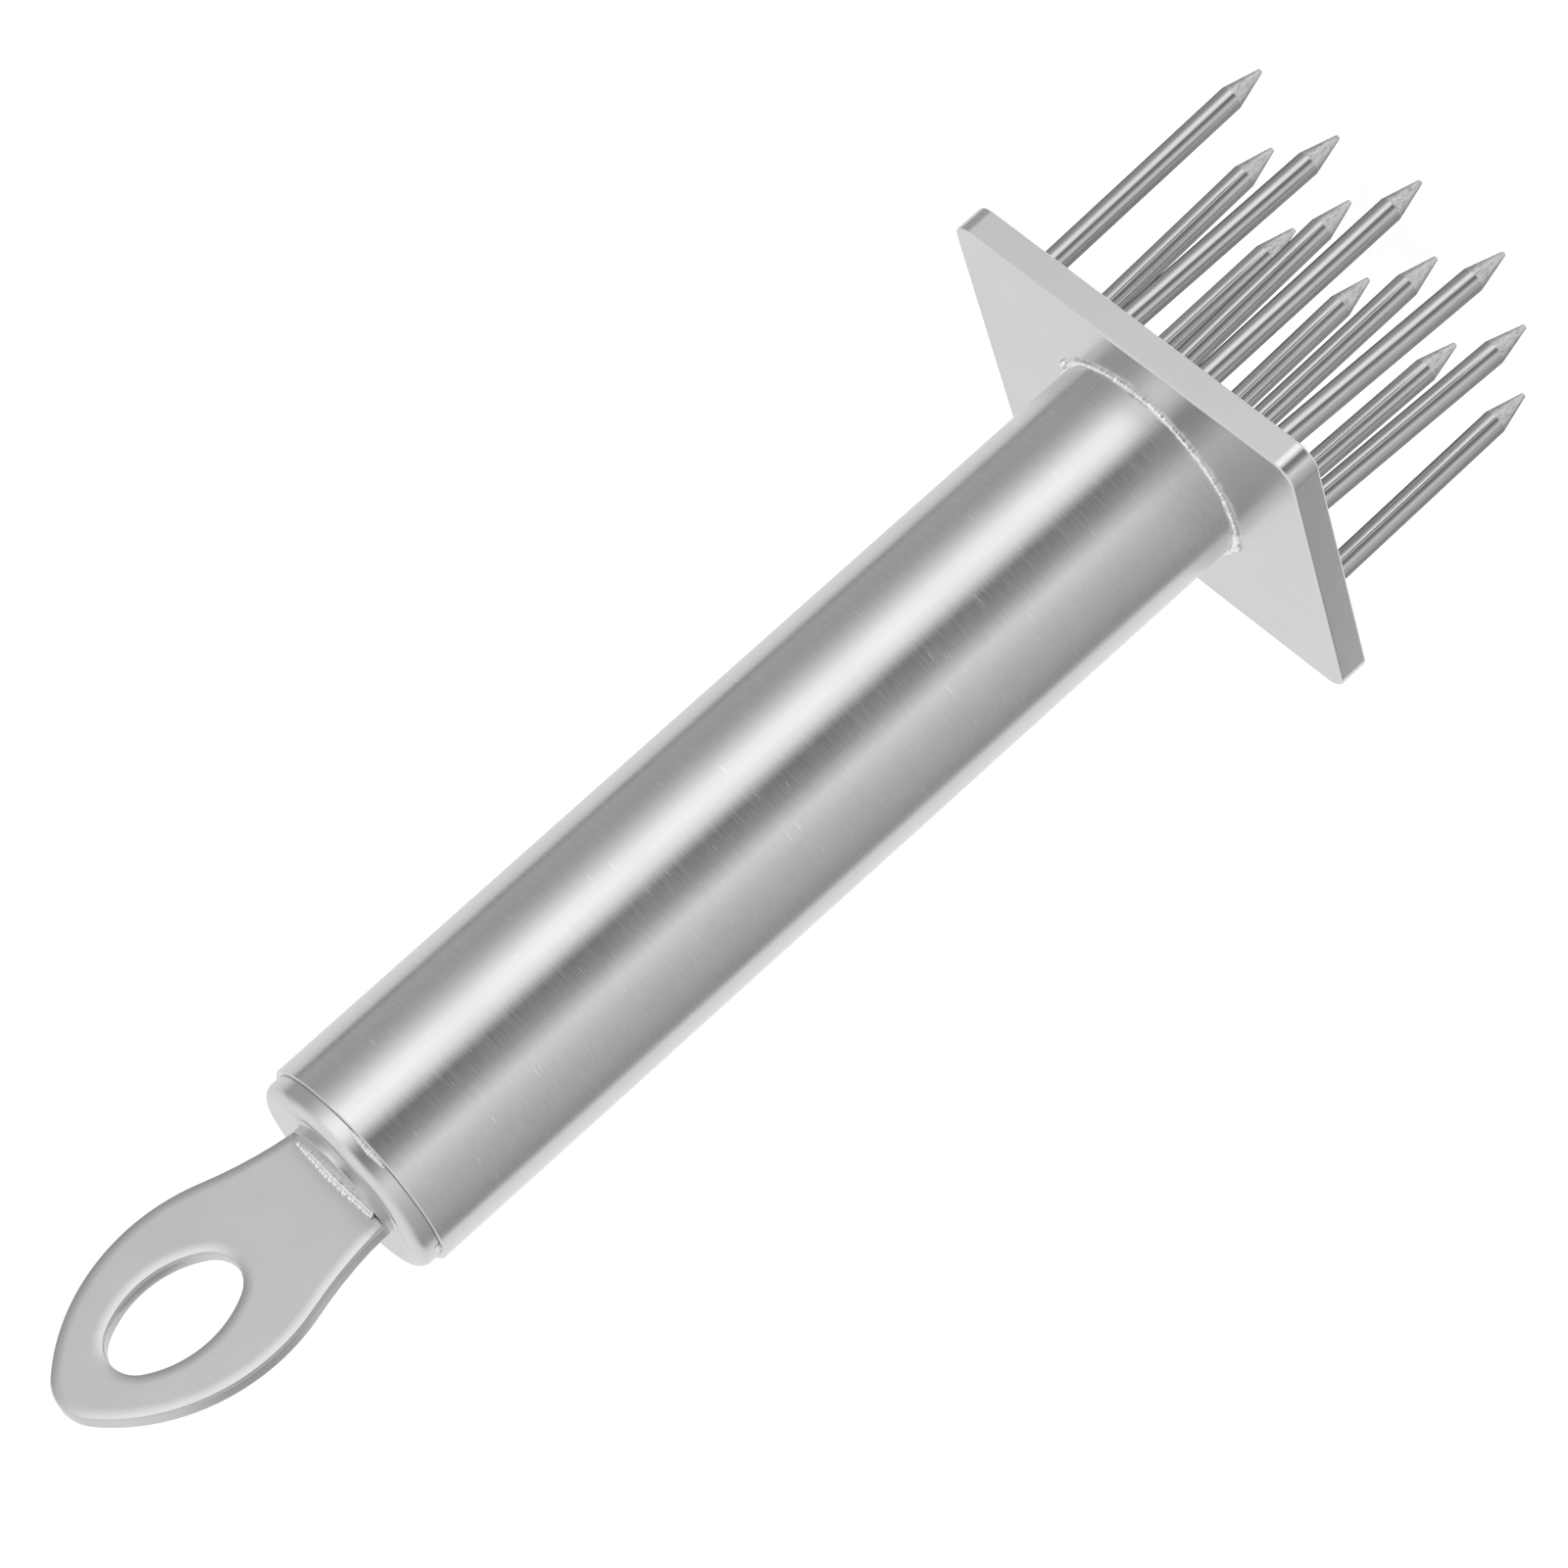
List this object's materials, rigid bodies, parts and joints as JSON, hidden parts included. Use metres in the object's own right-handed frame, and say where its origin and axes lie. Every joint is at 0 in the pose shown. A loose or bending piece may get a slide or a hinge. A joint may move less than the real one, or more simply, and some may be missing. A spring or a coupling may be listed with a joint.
{
  "type": "needle meat tenderizer",
  "caption": "Hand tool with a tube handle, a hanging loop and a rectangular plate of sharp round needles that are pushed into meat to pierce and tenderise it.",
  "frame": {"origin": "on the handle's axis, in the plane of the needle points, on which the upright tool stands", "axes": "+Z along the handle from the needle points to the hanging loop, X along the plate's long side and across the hanging loop, Y along the plate's short side and through the loop's eye"},
  "size_m": [0.05, 0.04, 0.1852],
  "materials": {
    "plate_steel": "satin ground plate with a half-bright face",
    "needle_steel": "bright drawn wire with matte ground points",
    "tube_steel": "satin tube, brushed round its axis",
    "cap_steel": "pressed sheet, buffed smooth",
    "loop_steel": "satin plate, tumbled, with bright rounded edges",
    "weld_steel": "bright rippled weld bead"
  },
  "bodies": {
    "root": {"base_plate": "plate_steel", "needle_row1_1": "needle_steel", "needle_row1_2": "needle_steel", "needle_row1_3": "needle_steel", "needle_row1_4": "needle_steel", "needle_row2_1": "needle_steel", "needle_row2_2": "needle_steel", "needle_row2_3": "needle_steel", "needle_row2_4": "needle_steel", "needle_row3_1": "needle_steel", "needle_row3_2": "needle_steel", "needle_row3_3": "needle_steel", "needle_row3_4": "needle_steel", "handle_tube": "tube_steel", "plate_weld": "weld_steel", "end_cap": "cap_steel", "cap_tacks": "weld_steel", "hanging_loop": "loop_steel", "loop_weld_front": "weld_steel", "loop_weld_back": "weld_steel"}
  },
  "joints": []
}
